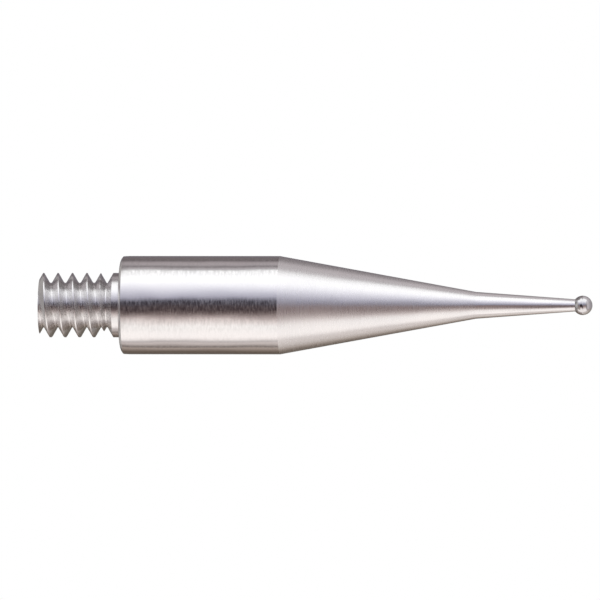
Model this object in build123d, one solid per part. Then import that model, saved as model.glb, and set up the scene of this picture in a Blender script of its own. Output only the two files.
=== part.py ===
from build123d import *
import os
from math import ceil, radians, sqrt, tan

# Stylus for a dial test indicator, in millimetres. Its axis is X. The shoulder that seats against the
# indicator's lever is at X = 0, the threaded stub points to -X and the contact ball to +X.

# Threaded stub: right-hand metric thread with flanks at 60 degrees to each other
thread_major_diameter = 1.56
thread_pitch = 0.35
thread_crest_share = 1 / 12   # crest flat, as a share of the pitch
thread_root_share = 1 / 8     # root flat, as a share of the pitch
flank_angle = 30              # each flank, from a plane square to the axis
stub_length = 1.98
crest_offset = 1.875          # from the shoulder back to a crest, along the top of the stub

# Undercut where the thread runs out, and the plain collar between it and the shoulder
collar_length = 0.18
undercut_clearance = 0.005    # how much deeper the undercut is than the thread's root
undercut_width = 0.025        # along its bottom
undercut_angle = 30           # each side, from a plane square to the axis

# Ground body
body_diameter = 2.38
body_length = 3.865
shoulder_edge_depth = 0.07    # along the axis, of the rounded edge
shoulder_edge_width = 0.16    # in radius

# Long cone and slim neck
cone_length = 4.75
cone_end_diameter = 0.65
neck_end_diameter = 0.297

# Carbide ball
ball_diameter = 0.47
reach = 11.2                  # from the shoulder to the centre of the ball

# Worked out from the sizes above
major_radius = thread_major_diameter / 2
flank_slope = tan(radians(flank_angle))
crest_flat = thread_pitch * thread_crest_share
root_flat = thread_pitch * thread_root_share
thread_depth = (thread_pitch - crest_flat - root_flat) / 2 / flank_slope
root_radius = major_radius - thread_depth
undercut_depth = thread_depth + undercut_clearance
undercut_radius = major_radius - undercut_depth
undercut_slope = tan(radians(undercut_angle))
undercut_end = -collar_length - undercut_depth * undercut_slope
undercut_start = undercut_end - undercut_width
body_radius = body_diameter / 2
cone_end = body_length + cone_length
ball_radius = ball_diameter / 2
neck_end_radius = neck_end_diameter / 2
neck_end = reach - sqrt(ball_radius**2 - neck_end_radius**2)


def threaded_rod():
    """A right-hand thread as one shell: strips between helices, closed at each end by the helicoid that
    its first or last edge sweeps round the axis and by a flat in the plane of the axis."""
    # long enough to run past the stub's end and into the undercut
    start = -crest_offset - thread_pitch * (ceil((stub_length - crest_offset) / thread_pitch) + 1)
    turns = ceil((undercut_start - start) / thread_pitch) + 1
    crest_half = crest_flat / 2
    root_half = crest_half + thread_depth * flank_slope
    profile = [
        (-root_half, root_radius),
        (-crest_half, major_radius),
        (crest_half, major_radius),
        (root_half, root_radius),
        (thread_pitch - root_half, root_radius),
    ]

    def place(turn):
        return Pos(start + turn * thread_pitch, 0, 0)

    def helices(turn):
        # each is laid along X and starts on top of the stub
        for offset, radius in profile:
            edge = Edge.make_helix(thread_pitch, thread_pitch, radius)
            yield place(turn) * Pos(offset, 0, 0) * Rot(0, 90, 0) * Rot(0, 0, 180) * edge

    def end(turn, edge):
        axis = [(offset, 0, 0) for offset in (profile[0][0], profile[-1][0])]
        outline = [axis[0]] + [(offset, 0, radius) for offset, radius in profile] + [axis[1]]
        sweep = Face.make_surface_from_curves(edge, place(turn) * Edge.make_line(*axis))
        return [sweep, place(turn) * Face(Wire.make_polygon(outline))]

    rows = [list(helices(turn)) for turn in range(turns)]
    strips = [Face.make_surface_from_curves(a, b) for row in rows for a, b in zip(row, row[1:])]
    return Solid(Shell(strips + end(0, rows[0][0]) + end(turns, rows[-1][-1])))


def threaded_stub():
    """The rod cut off square at the stub's end and slantwise along the undercut's side."""
    outside = major_radius + undercut_depth  # clear of the crests
    kept = Plane.XZ * Polyline(
        (-stub_length, 0),
        (-stub_length, outside),
        (undercut_start - 2 * undercut_depth * undercut_slope, outside),
        (undercut_start, undercut_radius),
        (undercut_start, 0),
        close=True,
    )
    return threaded_rod() & revolve(make_face(kept), axis=Axis.X)


def turned_blank():
    """The rest of the shank: undercut, collar, body, cone and neck."""
    face_edge = (0, body_radius - shoulder_edge_width)
    wall_edge = (shoulder_edge_depth, body_radius)
    outline = Polyline(
        face_edge,
        (0, major_radius),
        (-collar_length, major_radius),
        (undercut_end, undercut_radius),
        (undercut_start, undercut_radius),
        (undercut_start, 0),
        (neck_end, 0),
        (neck_end, neck_end_radius),
        (cone_end, cone_end_diameter / 2),
        (body_length, body_radius),
        wall_edge,
    ) + TangentArc(face_edge, wall_edge, tangent=(0, 1))
    return revolve(make_face(Plane.XZ * outline), axis=Axis.X)


def contact_ball():
    return Pos(reach, 0, 0) * Sphere(ball_radius)


def shank():
    """Threaded stub, collar, body, cone and neck in one piece, with the cup that seats the ball."""
    return turned_blank() + threaded_stub() - contact_ball()


os.makedirs("parts", exist_ok=True)
for name, piece in (("shank", shank()), ("contact_ball", contact_ball())):
    piece.label = name
    export_step(piece, f"parts/{name}.step")
    print(name, "valid", piece.is_valid, "volume", round(piece.volume, 4), "faces", len(piece.faces()))
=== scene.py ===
import bmesh
import bpy
from math import asin, cos, pi, radians, sin, sqrt, tan
from mathutils import Matrix, Vector


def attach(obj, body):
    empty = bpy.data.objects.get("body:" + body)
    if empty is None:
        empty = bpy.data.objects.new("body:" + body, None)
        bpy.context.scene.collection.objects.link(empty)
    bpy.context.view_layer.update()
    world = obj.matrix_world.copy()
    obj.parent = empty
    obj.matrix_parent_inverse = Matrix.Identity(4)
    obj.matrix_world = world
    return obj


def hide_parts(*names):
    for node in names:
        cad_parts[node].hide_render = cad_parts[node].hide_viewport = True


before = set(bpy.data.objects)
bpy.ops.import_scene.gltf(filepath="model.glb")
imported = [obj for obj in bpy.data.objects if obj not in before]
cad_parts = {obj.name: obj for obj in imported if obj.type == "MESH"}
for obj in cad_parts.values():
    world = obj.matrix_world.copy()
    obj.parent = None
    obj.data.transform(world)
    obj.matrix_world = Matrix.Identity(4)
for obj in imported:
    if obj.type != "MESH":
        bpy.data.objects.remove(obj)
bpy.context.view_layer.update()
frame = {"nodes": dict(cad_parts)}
print("frame loaded:", ", ".join(frame["nodes"]))

# The stylus lies along X, with its shoulder at X = 0 and its ball towards +X.
# Sizes are millimetres and angles are degrees, unless their name says otherwise.
millimetre = 0.001

shank = {
    "facets": 240,               # round the axis
    "threadRadius": 0.78,
    "threadPitch": 0.35,
    "crestShare": 1 / 12,        # crest flat, as a share of the pitch
    "rootShare": 1 / 8,          # root flat, as a share of the pitch
    "flankAngle": 30,            # each flank, from a plane square to the axis
    "crestRounding": 0.006,      # how far the corners of the crests are softened
    "rootRounding": 0.034,       # and those of the roots
    "rowsPerPitch": 32,
    "cornerStep": 0.008,         # further mesh rows lie this far to each side of a corner
    "turnsBefore": 2,            # spare turns of rows, which are held at the thread's two ends
    "turnsAfter": 3,
    "crestOffset": 1.875,        # from the shoulder back to a crest, along the top
    "stubLength": 1.98,
    "collarLength": 0.18,
    "undercutClearance": 0.005,
    "undercutWidth": 0.025,
    "undercutAngle": 30,         # each side
    "bodyRadius": 1.19,
    "bodyLength": 3.865,
    "shoulderDepth": 0.07,       # of the rounded shoulder edge, along the axis
    "shoulderWidth": 0.16,       # and in radius
    "polishLength": 0.2,         # how far polishing has eased the body's wall at its shoulder
    "polishDrop": 0.008,         # and by how much there
    "coneEnd": 8.615,
    "coneEndRadius": 0.325,
    "neckEndRadius": 0.1485,
    "edgeSteps": 8,              # mesh steps along the rounded shoulder edge
    "polishSteps": 6,            # along the eased wall
    "seatSteps": 8,              # and along the ball's seat
    "creaseAngle": 8,            # edges sharper than this stay hard
}
ball = {"radius": 0.235, "reach": 11.2, "rings": 64, "facets": 96, "creaseAngle": 60}
mergeDistance = 1e-5             # points closer than this become one
axisDistance = 1e-6              # and a ring smaller than this is a point on the axis


def besideAt(angle, depth):
    return depth * tan(radians(angle))


threadDepth = (shank["threadPitch"] * (1 - shank["crestShare"] - shank["rootShare"]) / 2
               / tan(radians(shank["flankAngle"])))
rootRadius = shank["threadRadius"] - threadDepth
undercutDepth = threadDepth + shank["undercutClearance"]
undercutRadius = shank["threadRadius"] - undercutDepth
undercutEnd = -shank["collarLength"] - besideAt(shank["undercutAngle"], undercutDepth)
undercutStart = undercutEnd - shank["undercutWidth"]
neckEnd = ball["reach"] - sqrt(ball["radius"] ** 2 - shank["neckEndRadius"] ** 2)


def softMin(a, b, reach):
    # the lesser of the two, rounded off where they differ by less than reach
    near = max(reach - abs(a - b), 0) / reach
    return min(a, b) - near * near * reach / 4


def threadSurface(x, turn):
    # radius of the right-hand thread; turn goes from 0 on top, over the far side, to 1
    place = (x + shank["crestOffset"]) / shank["threadPitch"] + turn
    fromCrest = abs(place - round(place)) * shank["threadPitch"]
    crestHalf = shank["threadPitch"] * shank["crestShare"] / 2
    flank = shank["threadRadius"] - (fromCrest - crestHalf) / tan(radians(shank["flankAngle"]))
    radius = softMin(shank["threadRadius"], flank, shank["crestRounding"])
    radius = -softMin(-radius, -rootRadius, shank["rootRounding"])
    runOut = undercutRadius + (undercutStart - x) / tan(radians(shank["undercutAngle"]))
    return min(radius, runOut)


def ringPoint(x, radius, turn):
    return (x, radius * sin(2 * pi * turn), radius * cos(2 * pi * turn))


def threadRows(bm):
    # the rows follow the helix, so crests and roots lie along mesh edges
    pitch, facets = shank["threadPitch"], shank["facets"]
    crestHalf = pitch * shank["crestShare"] / 2
    rootStart = crestHalf + besideAt(shank["flankAngle"], threadDepth)
    offsets = {i / shank["rowsPerPitch"] - 0.5 for i in range(shank["rowsPerPitch"])}
    for corner in (crestHalf, rootStart):
        for step in (-shank["cornerStep"], 0, shank["cornerStep"]):
            offsets |= {(corner + step) / pitch, -(corner + step) / pitch}
    offsets = sorted(offsets)
    turns = int(shank["stubLength"] / pitch) + shank["turnsAfter"]
    rows = []
    for k in range(-shank["turnsBefore"], turns):
        for offset in offsets:
            row = []
            for i in range(facets):
                turn = i / facets
                x = -shank["crestOffset"] + pitch * (k + offset - turn)
                x = min(max(x, -shank["stubLength"]), undercutStart)
                row.append(bm.verts.new(ringPoint(x, threadSurface(x, turn), turn)))
            rows.append(row)
    perPitch = len(offsets)
    for a, b in zip(rows, rows[1:]):
        for i in range(facets - 1):
            bm.faces.new((a[i], a[i + 1], b[i + 1], b[i]))
    for j in range(perPitch, len(rows) - 1):    # the helix joins itself one pitch further on
        a, b = rows[j], rows[j + 1]
        bm.faces.new((a[-1], rows[j - perPitch][0], rows[j - perPitch + 1][0], b[-1]))


def arcPoints(centre, radius, fromAngle, toAngle, count):
    points = []
    for i in range(count + 1):
        angle = fromAngle + (toAngle - fromAngle) * i / count
        points.append((centre + radius * cos(angle), radius * sin(angle)))
    return points


def shoulderEdge():
    # an arc that leaves the flat face squarely, then the wall that polishing has eased
    depth, width, body = shank["shoulderDepth"], shank["shoulderWidth"], shank["bodyRadius"]
    edgeRadius = body - shank["polishDrop"]
    bend = (depth ** 2 + width ** 2) / (2 * depth)
    edgeSteps, polishSteps = shank["edgeSteps"], shank["polishSteps"]
    points = []
    for i in range(edgeSteps + 1):
        angle = asin(width / bend) * i / edgeSteps
        points.append((bend * (1 - cos(angle)), edgeRadius - width + bend * sin(angle)))
    for i in range(1, polishSteps + 1):
        rest = 1 - i / polishSteps
        x = depth + shank["polishLength"] * i / polishSteps
        points.append((x, body - shank["polishDrop"] * rest * rest))
    return points


def shankOutline():
    outline = [
        (undercutStart, undercutRadius),
        (undercutEnd, undercutRadius),
        (-shank["collarLength"], shank["threadRadius"]),
        (0, shank["threadRadius"]),
    ]
    outline += shoulderEdge()
    outline += [
        (shank["bodyLength"], shank["bodyRadius"]),
        (shank["coneEnd"], shank["coneEndRadius"]),
        (neckEnd, shank["neckEndRadius"]),
    ]
    seat = asin(shank["neckEndRadius"] / ball["radius"])
    outline += arcPoints(ball["reach"], ball["radius"], pi - seat, pi, shank["seatSteps"])[1:]
    return outline


def latheRings(bm, outline, facets):
    rings = []
    for x, radius in outline:
        if radius < axisDistance:
            rings.append([bm.verts.new((x, 0, 0))] * facets)
        else:
            rings.append([bm.verts.new(ringPoint(x, radius, i / facets)) for i in range(facets)])
    for a, b in zip(rings, rings[1:]):
        for i in range(facets):
            corners = (a[i], a[(i + 1) % facets], b[(i + 1) % facets], b[i])
            bm.faces.new(list(dict.fromkeys(corners)))


def finishMesh(name, bm, creaseAngle):
    bmesh.ops.remove_doubles(bm, verts=bm.verts, dist=mergeDistance)
    openEdges = [e for e in bm.edges if e.is_boundary]
    if openEdges:
        bmesh.ops.holes_fill(bm, edges=openEdges, sides=0)
    bmesh.ops.recalc_face_normals(bm, faces=bm.faces)
    mesh = bpy.data.meshes.new(name)
    bm.to_mesh(mesh)
    bm.free()
    mesh.transform(Matrix.Scale(millimetre, 4))
    mesh.polygons.foreach_set("use_smooth", [True] * len(mesh.polygons))
    mesh.set_sharp_from_angle(angle=radians(creaseAngle))
    piece = bpy.data.objects.new(name, mesh)
    bpy.context.scene.collection.objects.link(piece)
    return piece


def buildShank():
    bm = bmesh.new()
    threadRows(bm)
    latheRings(bm, shankOutline(), shank["facets"])
    return finishMesh("turnedShank", bm, shank["creaseAngle"])


def buildBall():
    bm = bmesh.new()
    outline = arcPoints(ball["reach"], ball["radius"], pi, 0, ball["rings"])
    outline[0] = (outline[0][0], 0)
    outline[-1] = (outline[-1][0], 0)
    latheRings(bm, outline, ball["facets"])
    return finishMesh("contactBall", bm, ball["creaseAngle"])


# Finish of each zone. Marks are the fine lines that turning and grinding leave round the stylus, counted
# along it by linesPerMm and broken up round it by ticks, for each radian. Waves are the long shallow
# unevenness under them. Spread is how far the roughness varies with the marks, as a share of itself, and
# stretch draws a reflection out along the axis.
finish = {
    "thread": {"roughness": 0.24, "spread": 0.3, "stretch": 0.6, "marks": 0.4, "linesPerMm": 26,
               "ticks": 4, "waves": 0.0},
    "body": {"roughness": 0.2, "spread": 0.6, "stretch": 0.9, "marks": 0.42, "linesPerMm": 26,
             "ticks": 9, "waves": 1.0},
    "cone": {"roughness": 0.3, "spread": 0.3, "stretch": 0.6, "marks": 0.7, "linesPerMm": 30,
             "ticks": 5, "waves": 0.5},
    "neck": {"roughness": 0.17, "spread": 0.3, "stretch": 0.5, "marks": 0.5, "linesPerMm": 30,
             "ticks": 3, "waves": 0.3},
    "ball": {"roughness": 0.12, "spread": 0.2, "stretch": 0.0, "marks": 0.05, "linesPerMm": 20,
             "ticks": 3, "waves": 0.0},
}
steelColours = ((0.80, 0.79, 0.79, 1), (0.77, 0.765, 0.77, 1))
carbideColours = ((0.70, 0.69, 0.70, 1), (0.66, 0.66, 0.665, 1))
markDepth = 0.002                # of the bump where marks is 1
waveDepth = 0.02                 # and where waves is 1
grainTurn = 0.25                 # anisotropic rotation, as a share of a full turn
zoneMargin = 1e-4                # a face this little past a zone's end still belongs to it
# Noise of the two node groups. The masks run from 0 to 1 between the two heights given.
textures = {
    "turningMarks": {"inputs": {"Lines per mm": 30.0, "Ticks per radian": 3.0}, "detail": 3,
                     "maskFrom": 0.35, "maskTo": 0.65},
    "grindingWaves": {"inputs": {"Waves per mm": 0.8, "Lobes": 1.6}, "detail": 1,
                      "maskFrom": 0.3, "maskTo": 0.7},
}


def newGroup(name, inputs, outputs):
    group = bpy.data.node_groups.new(name, "ShaderNodeTree")
    for label, value in inputs.items():
        socket = group.interface.new_socket(label, in_out="INPUT", socket_type="NodeSocketFloat")
        socket.default_value = value
    for label in outputs:
        group.interface.new_socket(label, in_out="OUTPUT", socket_type="NodeSocketFloat")
    return group, group.nodes.new("NodeGroupInput"), group.nodes.new("NodeGroupOutput")


def mathNode(nodes, link, operation, a, b):
    node = nodes.new("ShaderNodeMath")
    node.operation = operation
    for socket, value in zip(node.inputs, (a, b)):
        if isinstance(value, (int, float)):
            socket.default_value = value
        else:
            link(value, socket)
    return node.outputs[0]


def roundTheAxis(nodes, link, along, around):
    # a point that moves by along for each millimetre of X or of radius, so that the lines also ring the
    # faces square to the axis, and by around for each radian round the axis
    place = nodes.new("ShaderNodeTexCoord")
    split = nodes.new("ShaderNodeSeparateXYZ")
    link(place.outputs["Object"], split.inputs[0])
    spoke = nodes.new("ShaderNodeCombineXYZ")
    link(split.outputs["Y"], spoke.inputs["Y"])
    link(split.outputs["Z"], spoke.inputs["Z"])
    unit = nodes.new("ShaderNodeVectorMath")
    unit.operation = "NORMALIZE"
    link(spoke.outputs[0], unit.inputs[0])
    scaled = nodes.new("ShaderNodeVectorMath")
    scaled.operation = "SCALE"
    link(unit.outputs[0], scaled.inputs[0])
    link(around, scaled.inputs["Scale"])
    reach = nodes.new("ShaderNodeVectorMath")
    reach.operation = "LENGTH"
    link(spoke.outputs[0], reach.inputs[0])
    onSurface = mathNode(nodes, link, "SUBTRACT", split.outputs["X"], reach.outputs["Value"])
    inMillimetres = mathNode(nodes, link, "MULTIPLY", onSurface, 1 / millimetre)
    shift = nodes.new("ShaderNodeCombineXYZ")
    link(mathNode(nodes, link, "MULTIPLY", inMillimetres, along), shift.inputs["X"])
    joined = nodes.new("ShaderNodeVectorMath")
    joined.operation = "ADD"
    link(shift.outputs[0], joined.inputs[0])
    link(scaled.outputs[0], joined.inputs[1])
    return joined.outputs[0]


def noiseGroup(name, look):
    # the first input counts along X or the radius for each millimetre, the second round the axis for each
    # radian
    group, given, out = newGroup(name, look["inputs"], ("Height", "Mask"))
    nodes, link = group.nodes, group.links.new
    noise = nodes.new("ShaderNodeTexNoise")
    noise.inputs["Scale"].default_value = 1
    noise.inputs["Detail"].default_value = look["detail"]
    link(roundTheAxis(nodes, link, given.outputs[0], given.outputs[1]), noise.inputs["Vector"])
    link(noise.outputs["Fac"], out.inputs["Height"])
    mask = nodes.new("ShaderNodeMapRange")
    mask.inputs["From Min"].default_value = look["maskFrom"]
    mask.inputs["From Max"].default_value = look["maskTo"]
    link(noise.outputs["Fac"], mask.inputs["Value"])
    link(mask.outputs[0], out.inputs["Mask"])
    return group


def placeGroup(nodes, group, values):
    node = nodes.new("ShaderNodeGroup")
    node.node_tree = group
    for label, value in values.items():
        node.inputs[label].default_value = value
    return node


def bumpNode(nodes, link, height, strength, depth):
    bump = nodes.new("ShaderNodeBump")
    bump.inputs["Strength"].default_value = 1
    bump.inputs["Distance"].default_value = strength * depth * millimetre
    link(height, bump.inputs["Height"])
    return bump


def metalMaterial(name, colours, looks):
    material = bpy.data.materials.new(name)
    material.use_nodes = True
    nodes, link = material.node_tree.nodes, material.node_tree.links.new
    shader = nodes["Principled BSDF"]
    shader.inputs["Metallic"].default_value = 1
    marks = placeGroup(nodes, turningMarks, {"Lines per mm": looks["linesPerMm"],
                                             "Ticks per radian": looks["ticks"]})
    waves = placeGroup(nodes, grindingWaves, {})
    tint = nodes.new("ShaderNodeMix")
    tint.data_type = "RGBA"
    tint.inputs["A"].default_value, tint.inputs["B"].default_value = colours
    link(waves.outputs["Mask"], tint.inputs["Factor"])
    link(tint.outputs["Result"], shader.inputs["Base Color"])
    rough = nodes.new("ShaderNodeMapRange")
    rough.inputs["To Min"].default_value = looks["roughness"] * (1 - looks["spread"] / 2)
    rough.inputs["To Max"].default_value = looks["roughness"] * (1 + looks["spread"] / 2)
    link(marks.outputs["Mask"], rough.inputs["Value"])
    link(rough.outputs[0], shader.inputs["Roughness"])
    fine = bumpNode(nodes, link, marks.outputs["Height"], looks["marks"], markDepth)
    if looks["waves"]:
        broad = bumpNode(nodes, link, waves.outputs["Height"], looks["waves"], waveDepth)
        link(broad.outputs[0], fine.inputs["Normal"])
    link(fine.outputs[0], shader.inputs["Normal"])
    if looks["stretch"]:
        shader.inputs["Anisotropic"].default_value = looks["stretch"]
        shader.inputs["Anisotropic Rotation"].default_value = grainTurn
        grain = nodes.new("ShaderNodeTangent")
        grain.direction_type = "RADIAL"
        grain.axis = "X"
        link(grain.outputs[0], shader.inputs["Tangent"])
    return material


def dressShank(piece):
    for zone in ("thread", "body", "cone", "neck"):
        piece.data.materials.append(metalMaterial(zone + "Steel", steelColours, finish[zone]))
    limits = (0, shank["bodyLength"], shank["coneEnd"])
    for face in piece.data.polygons:
        x = face.center.x / millimetre
        face.material_index = sum(x > limit + zoneMargin for limit in limits)


# Light tent: curved cards round the stylus that only its reflections see. Angles run from the camera's
# side (0) over the top (90) to the back (180), and below as negative angles. Each stop is an angle, the
# strength there and how much the card covers what lies behind it. A card lies along X between two
# places. Each of its ends fades over the length soft, and 0 leaves them hard. Its two tints are those of
# its lowest and highest angle.
cards = {
    "room": {
        "radius": 60, "along": (-100, 100), "soft": 0, "tints": ((1.0, 0.86, 0.72), (0.98, 0.88, 0.98)),
        "stops": ((-180, 0.16, 1), (-140, 0.13, 1), (-100, 0.2, 1), (-45, 0.26, 1), (0, 0.3, 1),
                  (45, 0.26, 1), (100, 0.2, 1), (140, 0.17, 1), (180, 0.2, 1)),
    },
    "rearRight": {
        "radius": 59, "along": (30, 99), "soft": 12, "tints": ((1.0, 0.93, 0.95), (1.0, 0.93, 0.95)),
        "stops": ((100, 0.4, 0), (120, 0.42, 1), (180, 0.42, 1), (240, 0.42, 1), (260, 0.4, 0)),
    },
    "rearLeft": {
        "radius": 59, "along": (-99, -22), "soft": 12, "tints": ((1.0, 0.95, 0.93), (1.0, 0.96, 0.92)),
        "stops": ((105, 0.5, 0), (125, 0.5, 1), (150, 0.48, 1), (164, 0.42, 1), (180, 0.32, 1),
                  (196, 0.42, 1), (214, 0.6, 1), (240, 0.55, 0)),
    },
    "rearUpper": {
        "radius": 58, "along": (-50, 60), "soft": 20, "tints": ((1.0, 0.92, 0.95), (1.0, 0.84, 0.86)),
        "stops": ((92, 0.6, 1), (98, 0.48, 1), (103, 0.22, 1), (110, 0.46, 1), (119, 0.44, 1),
                  (129, 0.17, 1), (142, 0.19, 1), (156, 0.25, 0)),
    },
    "rearLower": {
        "radius": 58, "along": (-50, 60), "soft": 20, "tints": ((1.0, 0.72, 0.52), (1.0, 0.91, 0.90)),
        "stops": ((-156, 0.2, 0), (-142, 0.13, 1), (-130, 0.28, 1), (-121, 0.46, 1), (-114, 0.18, 1),
                  (-106, 0.52, 1), (-100, 0.72, 1), (-95, 0.52, 1), (-91, 0.8, 1)),
    },
    "rearReflector": {
        "radius": 56, "along": (5, 99), "soft": 10, "tints": ((1.0, 0.93, 0.95), (1.0, 0.93, 0.97)),
        "stops": ((92, 0.7, 0.9), (108, 0.72, 0.9), (130, 0.58, 0.9), (150, 0.5, 0.9), (162, 0.5, 0)),
    },
    "lowReflector": {
        "radius": 56, "along": (5, 99), "soft": 10, "tints": ((1.0, 0.85, 0.72), (1.0, 0.9, 0.86)),
        "stops": ((-162, 0.5, 0), (-150, 0.34, 0.9), (-130, 0.52, 0.9), (-112, 0.76, 0.9), (-92, 0.75, 0.9)),
    },
    "overheadBox": {
        "radius": 57, "along": (-99, 99), "soft": 4, "tints": ((0.985, 0.985, 1.0), (1.0, 1.0, 1.0)),
        "stops": ((55, 1.34, 1), (87, 1.36, 1), (91, 1.0, 1), (95, 0.55, 0)),
    },
    "upperFront": {
        "radius": 57, "along": (-99, 99), "soft": 4, "tints": ((0.78, 0.76, 1.0), (0.985, 0.985, 1.0)),
        "stops": ((0, 0.36, 0.7), (10, 0.42, 1), (20, 0.6, 1), (30, 0.82, 1), (40, 1.06, 1),
                  (48, 1.24, 1), (55, 1.34, 1)),
    },
    "lowerFront": {
        "radius": 57, "along": (-99, 99), "soft": 4, "tints": ((1.0, 0.965, 0.94), (1.0, 0.68, 0.64)),
        "stops": ((-50, 1.2, 1), (-40, 1.0, 1), (-30, 0.78, 1), (-22, 0.56, 1), (-12, 0.4, 1),
                  (0, 0.36, 0.7)),
    },
    "underReflector": {
        "radius": 57, "along": (-99, 99), "soft": 4, "tints": ((1.0, 0.93, 0.90), (1.0, 0.965, 0.94)),
        "stops": ((-94, 0.8, 0), (-89, 1.0, 1), (-80, 1.22, 1), (-66, 1.2, 1), (-50, 1.2, 1)),
    },
    "tipUpper": {
        "radius": 55, "along": (11, 17), "soft": 2, "tints": ((0.82, 0.79, 1.0), (0.985, 0.985, 1.0)),
        "stops": ((-18, 0.36, 0.7), (-8, 0.42, 1), (2, 0.6, 1), (12, 0.82, 1), (22, 1.06, 1),
                  (30, 1.24, 1), (37, 1.34, 1), (60, 1.34, 1)),
    },
    "tipLower": {
        "radius": 55, "along": (11, 17), "soft": 2, "tints": ((1.0, 0.965, 0.94), (1.0, 0.74, 0.72)),
        "stops": ((-72, 1.25, 1), (-68, 1.2, 1), (-58, 0.98, 1), (-48, 0.72, 1), (-40, 0.5, 1),
                  (-30, 0.38, 1), (-18, 0.36, 0.7)),
    },
    "tipEdge": {
        "radius": 54.5, "along": (5.5, 14.5), "soft": 2, "tints": ((1.0, 1.0, 1.0), (1.0, 0.93, 0.96)),
        "stops": ((70, 1.2, 0), (80, 0.65, 1), (92, 0.45, 1), (112, 0.5, 0)),
    },
    "tipUnder": {
        "radius": 54.5, "along": (6.5, 12.6), "soft": 1, "tints": ((1.0, 0.95, 0.92), (1.0, 0.96, 0.95)),
        "stops": ((-128, 0.8, 0), (-112, 1.05, 0.8), (-98, 1.2, 0.8), (-86, 1.25, 0)),
    },
    "overLeftFlag": {
        "radius": 55.5, "along": (-42, -7), "soft": 7, "tints": ((1.0, 0.95, 0.93), (1.0, 0.95, 0.93)),
        "stops": ((74, 0.5, 0), (86, 0.42, 0.9), (98, 0.25, 0.9), (120, 0.25, 0.9), (132, 0.25, 0)),
    },
    "leftSide": {
        "radius": 56, "along": (-99, -44), "soft": 12, "tints": ((1.0, 0.88, 0.8), (0.92, 0.92, 1.0)),
        "stops": ((-125, 0.28, 0), (-110, 0.32, 1), (-81, 0.5, 1), (-46, 0.32, 1), (-9, 0.27, 1),
                  (10, 0.36, 1), (29, 0.55, 1), (68, 0.74, 1), (95, 0.58, 1), (120, 0.45, 0)),
    },
    "rightSide": {
        "radius": 56, "along": (52, 99), "soft": 12, "tints": ((1.0, 0.88, 0.84), (0.95, 0.92, 1.0)),
        "stops": ((-125, 0.28, 0), (-110, 0.32, 1), (-81, 0.55, 1), (-46, 0.4, 1), (-9, 0.3, 1),
                  (10, 0.4, 1), (29, 0.6, 1), (68, 0.85, 1), (95, 0.62, 1), (120, 0.45, 0)),
    },
    "lowerLeftFlag": {
        "radius": 55.5, "along": (-60, -8), "soft": 14, "tints": ((1.0, 0.85, 0.75), (1.0, 0.85, 0.75)),
        "stops": ((-70, 0.4, 0), (-58, 0.4, 0.9), (-40, 0.36, 0.9), (-25, 0.3, 0.9), (-12, 0.3, 0)),
    },
    "lensFlag": {
        "radius": 54, "along": (-26, 12), "soft": 8, "tints": ((1.0, 0.4, 0.3), (0.7, 0.72, 1.0)),
        "stops": ((-34, 0.05, 0), (-25, 0.05, 0.35), (-18, 0.045, 0.75), (-11, 0.045, 1), (8, 0.045, 1),
                  (13, 0.045, 0.5), (19, 0.05, 0)),
    },
    "handFlag": {
        "radius": 53, "along": (3, 20), "soft": 5, "tints": ((1.0, 0.5, 0.4), (0.75, 0.78, 1.0)),
        "stops": ((-42, 0.05, 0), (-30, 0.05, 0.85), (-18, 0.05, 0.95), (-6, 0.05, 0.7), (6, 0.05, 0)),
    },
}
tent = {"angleStep": 4, "endHalf": 60}
# The tent's two ends are flat cards square to X, at the place given and to endHalf above and below the
# axis. In place of an angle their stops have a place along Y, from the camera's side back.
endCards = {
    "leftEnd": {
        "at": -100, "soft": 0, "tints": ((1.0, 0.97, 0.93), (1.0, 0.94, 0.97)),
        "stops": ((-60, 0.75, 1), (-14, 0.55, 1), (-4, 0.14, 1), (20, 0.12, 1), (34, 0.45, 1), (60, 0.5, 1)),
    },
    "rightEnd": {
        "at": 100, "soft": 0, "tints": ((1.0, 0.93, 0.97), (1.0, 0.93, 0.97)),
        "stops": ((-60, 0.75, 1), (-15, 0.65, 1), (10, 0.5, 1), (60, 0.42, 1)),
    },
}


def cardMaterial(name, look):
    material = bpy.data.materials.new(name)
    material.use_nodes = True
    nodes, link = material.node_tree.nodes, material.node_tree.links.new
    nodes.clear()
    uv = nodes.new("ShaderNodeUVMap")
    split = nodes.new("ShaderNodeSeparateXYZ")
    link(uv.outputs[0], split.inputs[0])
    stops = look["stops"]
    low, high = stops[0][0], stops[-1][0]
    top = max(strength for _, strength, _ in stops)
    ramp = nodes.new("ShaderNodeValToRGB")
    elements = ramp.color_ramp.elements
    elements.remove(elements[0])
    for i, (angle, strength, cover) in enumerate(stops):
        place = (angle - low) / (high - low)
        stop = elements.new(place) if i else elements[0]
        stop.position = place
        tint = Vector(look["tints"][0]).lerp(Vector(look["tints"][1]), place)
        stop.color = (*(tint * strength / top), cover)
    link(split.outputs["Y"], ramp.inputs[0])
    glow = nodes.new("ShaderNodeEmission")
    glow.inputs["Strength"].default_value = top
    link(ramp.outputs["Color"], glow.inputs["Color"])
    coverage = ramp.outputs["Alpha"]
    if look["soft"]:
        length = look["along"][1] - look["along"][0]
        ends = nodes.new("ShaderNodeMapRange")
        ends.interpolation_type = "SMOOTHSTEP"
        ends.inputs["From Max"].default_value = look["soft"] / length
        fromEnd = mathNode(nodes, link, "PINGPONG", split.outputs["X"], 0.5)    # to the nearer end
        link(fromEnd, ends.inputs["Value"])
        coverage = mathNode(nodes, link, "MULTIPLY", coverage, ends.outputs[0])
    mix = nodes.new("ShaderNodeMixShader")
    link(coverage, mix.inputs[0])
    link(nodes.new("ShaderNodeBsdfTransparent").outputs[0], mix.inputs[1])
    link(glow.outputs[0], mix.inputs[2])
    out = nodes.new("ShaderNodeOutputMaterial")
    link(mix.outputs[0], out.inputs["Surface"])
    return material


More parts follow.
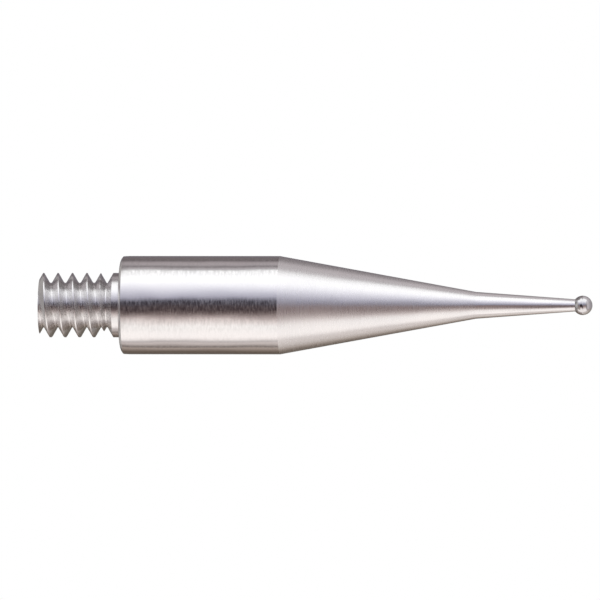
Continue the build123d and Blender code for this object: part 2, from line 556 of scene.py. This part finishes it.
def hangCard(name, mesh, material):
    mesh.materials.append(material)
    card = bpy.data.objects.new(name, mesh)
    card.visible_camera = False
    card.visible_diffuse = False
    card.visible_shadow = False
    bpy.context.scene.collection.objects.link(card)


def stripCard(name, look, rungs):
    # each rung is the two ends of a line across the card, from its lowest stop to its highest
    count = len(rungs) - 1
    points = [Vector(end) * millimetre for rung in rungs for end in rung]
    faces = [(2 * i, 2 * i + 1, 2 * i + 3, 2 * i + 2) for i in range(count)]
    mesh = bpy.data.meshes.new(name)
    mesh.from_pydata(points, [], faces)
    layer = mesh.uv_layers.new(name="card")
    for loop in mesh.loops:
        i, side = divmod(loop.vertex_index, 2)
        layer.data[loop.index].uv = (side, i / count)
    hangCard(name, mesh, cardMaterial(name, look))


def curvedCard(name, look):
    low, high = look["stops"][0][0], look["stops"][-1][0]
    count = int((high - low) / tent["angleStep"]) + 1
    rungs = []
    for i in range(count + 1):
        angle = radians(low + (high - low) * i / count)
        y, z = -look["radius"] * cos(angle), look["radius"] * sin(angle)
        rungs.append([(x, y, z) for x in look["along"]])
    stripCard(name, look, rungs)


def endCard(name, look):
    half = tent["endHalf"]
    low, high = look["stops"][0][0], look["stops"][-1][0]
    stripCard(name, look, [[(look["at"], y, -half), (look["at"], y, half)] for y in (low, high)])


floor = {"radius": 600, "segments": 96, "below": 70, "colour": (0.95, 0.95, 0.945, 1), "roughness": 0.9}


def buildFloor():
    bm = bmesh.new()
    bmesh.ops.create_circle(bm, cap_ends=True, radius=floor["radius"], segments=floor["segments"])
    mesh = bpy.data.meshes.new("floor")
    bm.to_mesh(mesh)
    bm.free()
    mesh.transform(Matrix.Translation((0, 0, -floor["below"] * millimetre)) @ Matrix.Scale(millimetre, 4))
    material = bpy.data.materials.new("paleFloor")
    material.use_nodes = True
    shader = material.node_tree.nodes["Principled BSDF"]
    shader.inputs["Base Color"].default_value = floor["colour"]
    shader.inputs["Roughness"].default_value = floor["roughness"]
    mesh.materials.append(material)
    plane = bpy.data.objects.new("floor", mesh)
    bpy.context.scene.collection.objects.link(plane)


# Width is how much of the scene's width the view takes in at its distance. The clip is in metres.
camera = {"yaw": 4.05, "rise": 0.4, "distance": 500, "width": 14.52, "sensor": 36,
          "lookAt": (4.347, 0, 0.1265), "clip": (0.001, 10)}


def buildCamera():
    data = bpy.data.cameras.new("camera")
    data.sensor_width = camera["sensor"]
    data.lens = camera["sensor"] * camera["distance"] / camera["width"]
    data.clip_start, data.clip_end = camera["clip"]
    view = bpy.data.objects.new("camera", data)
    bpy.context.scene.collection.objects.link(view)
    yaw, rise = radians(camera["yaw"]), radians(camera["rise"])
    back = Vector((sin(yaw) * cos(rise), -cos(yaw) * cos(rise), sin(rise)))
    view.location = (Vector(camera["lookAt"]) + back * camera["distance"]) * millimetre
    view.rotation_mode = "QUATERNION"
    view.rotation_quaternion = (-back).to_track_quat("-Z", "Y")
    bpy.context.scene.camera = view


backdrop = {"colour": (1, 1, 1, 1), "strength": 1}


def buildWorld():
    world = bpy.data.worlds.new("whiteRoom")
    world.use_nodes = True
    shader = world.node_tree.nodes["Background"]
    shader.inputs["Color"].default_value = backdrop["colour"]
    shader.inputs["Strength"].default_value = backdrop["strength"]
    bpy.context.scene.world = world


turningMarks = noiseGroup("turningMarks", textures["turningMarks"])
grindingWaves = noiseGroup("grindingWaves", textures["grindingWaves"])

shankPiece = buildShank()
dressShank(shankPiece)
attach(shankPiece, "root")
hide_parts("shank")
print("shank:", len(shankPiece.data.polygons), "faces")

ballPiece = buildBall()
ballPiece.data.materials.append(metalMaterial("polishedCarbide", carbideColours, finish["ball"]))
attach(ballPiece, "root")
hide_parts("contact_ball")
print("ball:", len(ballPiece.data.polygons), "faces")

for name, look in cards.items():
    curvedCard(name, look)
for name, look in endCards.items():
    endCard(name, look)
print("light tent:", len(cards) + len(endCards), "cards")

buildFloor()
buildWorld()
buildCamera()
bpy.context.scene.view_settings.view_transform = "Standard"
print("floor, world and camera set")
